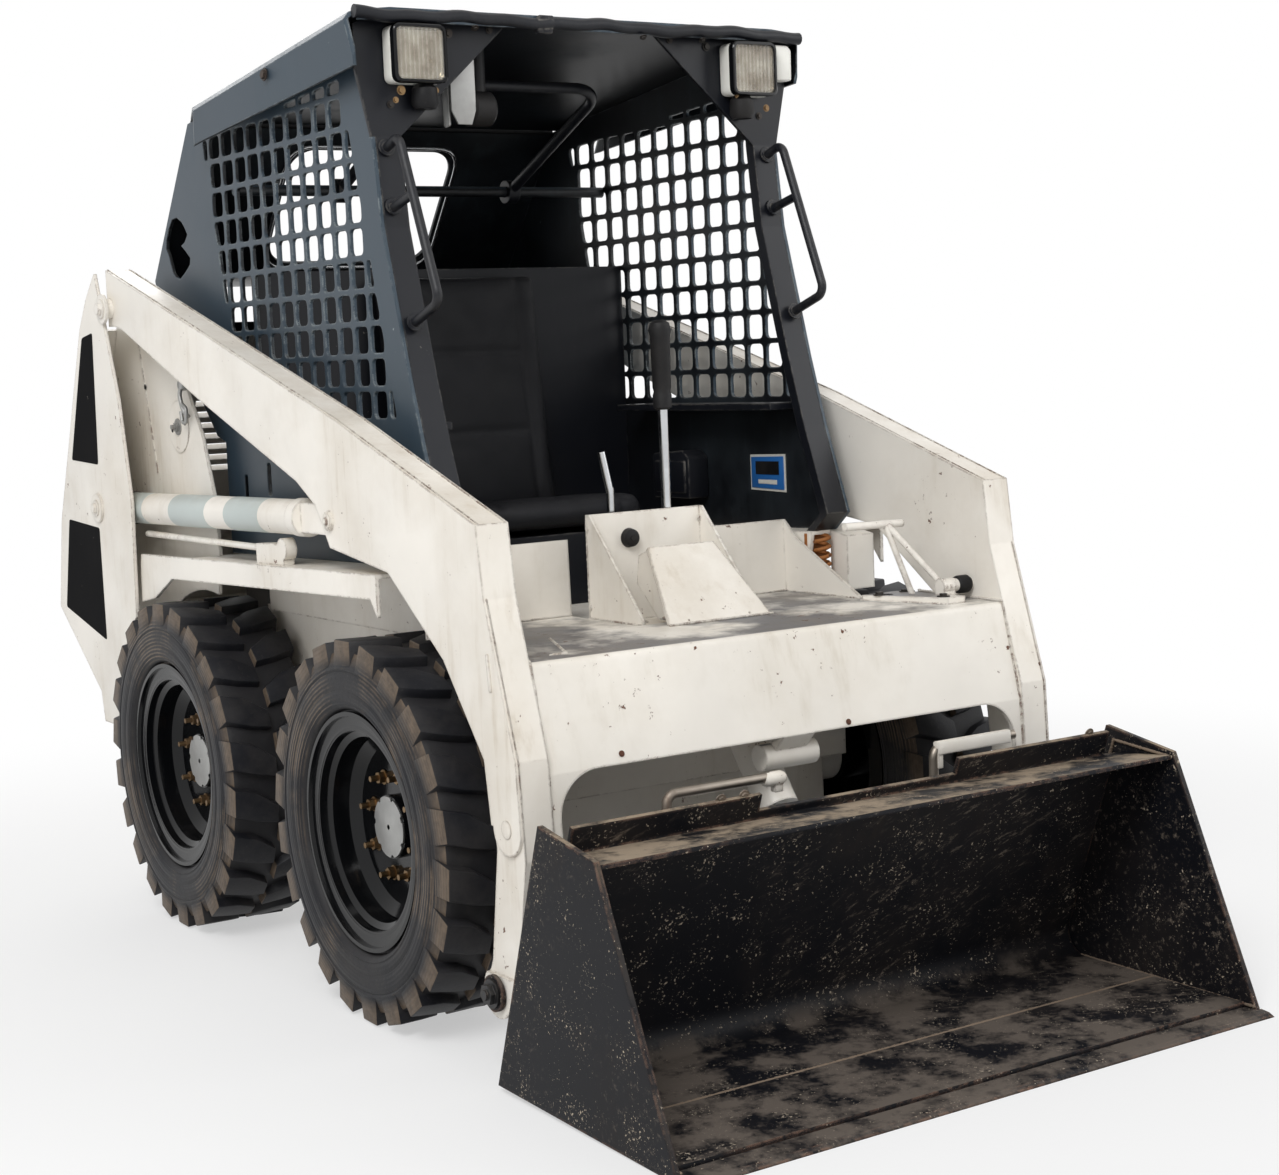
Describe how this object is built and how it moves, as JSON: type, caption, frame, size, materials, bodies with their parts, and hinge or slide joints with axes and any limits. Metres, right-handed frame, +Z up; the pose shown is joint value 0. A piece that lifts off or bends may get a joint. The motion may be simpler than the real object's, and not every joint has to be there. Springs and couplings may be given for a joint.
{
  "type": "skid steer loader",
  "caption": "Compact wheeled loader with an open caged cab, side lift arms on rear towers, a tilting front bucket and hydraulic cylinders",
  "frame": {"origin": "middle of the machine's footprint on the ground", "axes": "+Z up, the machine faces -Y, +X is its left"},
  "size_m": [1.28, 2.714, 1.872],
  "materials": {
    "cream_paint": "cream enamel, chipped and rusty at its edges",
    "slate_paint": "slate blue-grey enamel, dusty",
    "black_paint": "near-black enamel, worn bright at its edges",
    "rim_paint": "gloss black",
    "worn_steel": "worn and lightly rusted",
    "rod_chrome": "polished",
    "tyre_rubber": "dusty rubber",
    "seat_vinyl": "black vinyl with seams",
    "lamp_white": "white housings",
    "engine_iron": "dark casting"
  },
  "bodies": {
    "chassis": {"frame_tub": "cream_paint", "tower_outers": "cream_paint", "tower_inners": "cream_paint", "fenders": "cream_paint", "console": "cream_paint", "foot_trays": "cream_paint", "engine": "engine_iron", "engine_cover": "slate_paint", "rear_panel": "cream_paint", "cab_side_right": "slate_paint", "cab_side_left": "slate_paint", "cab_frame": "black_paint", "cab_roof": "slate_paint", "cab_rear": "slate_paint", "bulkhead": "black_paint", "seat_cushion": "seat_vinyl", "seat_back": "seat_vinyl", "seat_base": "black_paint", "lamps": "lamp_white", "grab_handles": "black_paint", "levers": "rod_chrome"},
    "lift_arms": {"arm_right": "cream_paint", "arm_left": "cream_paint", "crossmember": "cream_paint", "tilt_guard": "cream_paint"},
    "lift_barrel_right": {"lift_barrel_right": "cream_paint"},
    "lift_barrel_left": {"lift_barrel_left": "cream_paint"},
    "lift_rod_right": {"lift_rod_right": "rod_chrome"},
    "lift_rod_left": {"lift_rod_left": "rod_chrome"},
    "tilt_barrel": {"tilt_barrel": "cream_paint"},
    "tilt_rod": {"tilt_rod": "rod_chrome"},
    "bucket": {"attach_frame": "black_paint", "latch_levers": "worn_steel", "bucket_shell": "black_paint", "bucket_sides": "black_paint", "cutting_edge": "worn_steel"},
    "rear_door": {"rear_door": "cream_paint"},
    "seat_bar": {"seat_bar": "black_paint"},
    "wheel_front_right": {"rim_front_right": "rim_paint", "tyre_front_right": "tyre_rubber"},
    "wheel_front_left": {"rim_front_left": "rim_paint", "tyre_front_left": "tyre_rubber"},
    "wheel_rear_right": {"rim_rear_right": "rim_paint", "tyre_rear_right": "tyre_rubber"},
    "wheel_rear_left": {"rim_rear_left": "rim_paint", "tyre_rear_left": "tyre_rubber"}
  },
  "joints": [
    {"name": "lift", "type": "hinge", "parent": "chassis", "child": "lift_arms", "pos_m": [0, 0.909, 1.37], "axis": [-1, 0, 0], "range_deg": [0, 72]},
    {"name": "lift_barrel_right", "type": "hinge", "parent": "lift_arms", "child": "lift_barrel_right", "pos_m": [-0.564, -0.188, 0.93], "axis": [1, 0, 0], "range_deg": [0, 16]},
    {"name": "lift_rod_right", "type": "slide", "parent": "lift_barrel_right", "child": "lift_rod_right", "axis": [0, 0.9999, -0.0148], "range_m": [0, 0.41]},
    {"name": "lift_barrel_left", "type": "hinge", "parent": "lift_arms", "child": "lift_barrel_left", "pos_m": [0.564, -0.188, 0.93], "axis": [1, 0, 0], "range_deg": [0, 16]},
    {"name": "lift_rod_left", "type": "slide", "parent": "lift_barrel_left", "child": "lift_rod_left", "axis": [0, 0.9999, -0.0148], "range_m": [0, 0.41]},
    {"name": "tilt", "type": "hinge", "parent": "lift_arms", "child": "bucket", "pos_m": [0, -0.746, 0.15], "axis": [1, 0, 0], "range_deg": [-15, 100]},
    {"name": "tilt_barrel", "type": "hinge", "parent": "lift_arms", "child": "tilt_barrel", "pos_m": [0, -0.465, 0.79], "axis": [1, 0, 0], "range_deg": [-1, 6.5]},
    {"name": "tilt_rod", "type": "slide", "parent": "tilt_barrel", "child": "tilt_rod", "axis": [0, -0.5876, -0.8092], "range_m": [-0.04, 0.25]},
    {"name": "wheel_front_right", "type": "hinge", "parent": "chassis", "child": "wheel_front_right", "pos_m": [0, -0.308, 0.36], "axis": [1, 0, 0], "continuous": true},
    {"name": "wheel_front_left", "type": "hinge", "parent": "chassis", "child": "wheel_front_left", "pos_m": [0, -0.308, 0.36], "axis": [1, 0, 0], "continuous": true},
    {"name": "wheel_rear_right", "type": "hinge", "parent": "chassis", "child": "wheel_rear_right", "pos_m": [0, 0.613, 0.36], "axis": [1, 0, 0], "continuous": true},
    {"name": "wheel_rear_left", "type": "hinge", "parent": "chassis", "child": "wheel_rear_left", "pos_m": [0, 0.613, 0.36], "axis": [1, 0, 0], "continuous": true},
    {"name": "rear_door", "type": "hinge", "parent": "chassis", "child": "rear_door", "pos_m": [0.5105, 1.304, 0.872], "axis": [0, 0.4393, -0.8983], "range_deg": [0, 100]},
    {"name": "seat_bar", "type": "hinge", "parent": "chassis", "child": "seat_bar", "pos_m": [0, 0.47, 1.6], "axis": [1, 0, 0], "range_deg": [0, 80]}
  ],
  "couplings": [
    {"joint": "lift_barrel_right", "follows": "lift", "ratio": 0.21672},
    {"joint": "lift_rod_right", "follows": "lift", "m_per_rad": 0.3226},
    {"joint": "lift_barrel_left", "follows": "lift", "ratio": 0.21672},
    {"joint": "lift_rod_left", "follows": "lift", "m_per_rad": 0.3226},
    {"joint": "tilt_barrel", "follows": "tilt", "ratio": 0.063085},
    {"joint": "tilt_rod", "follows": "tilt", "m_per_rad": 0.14228}
  ]
}
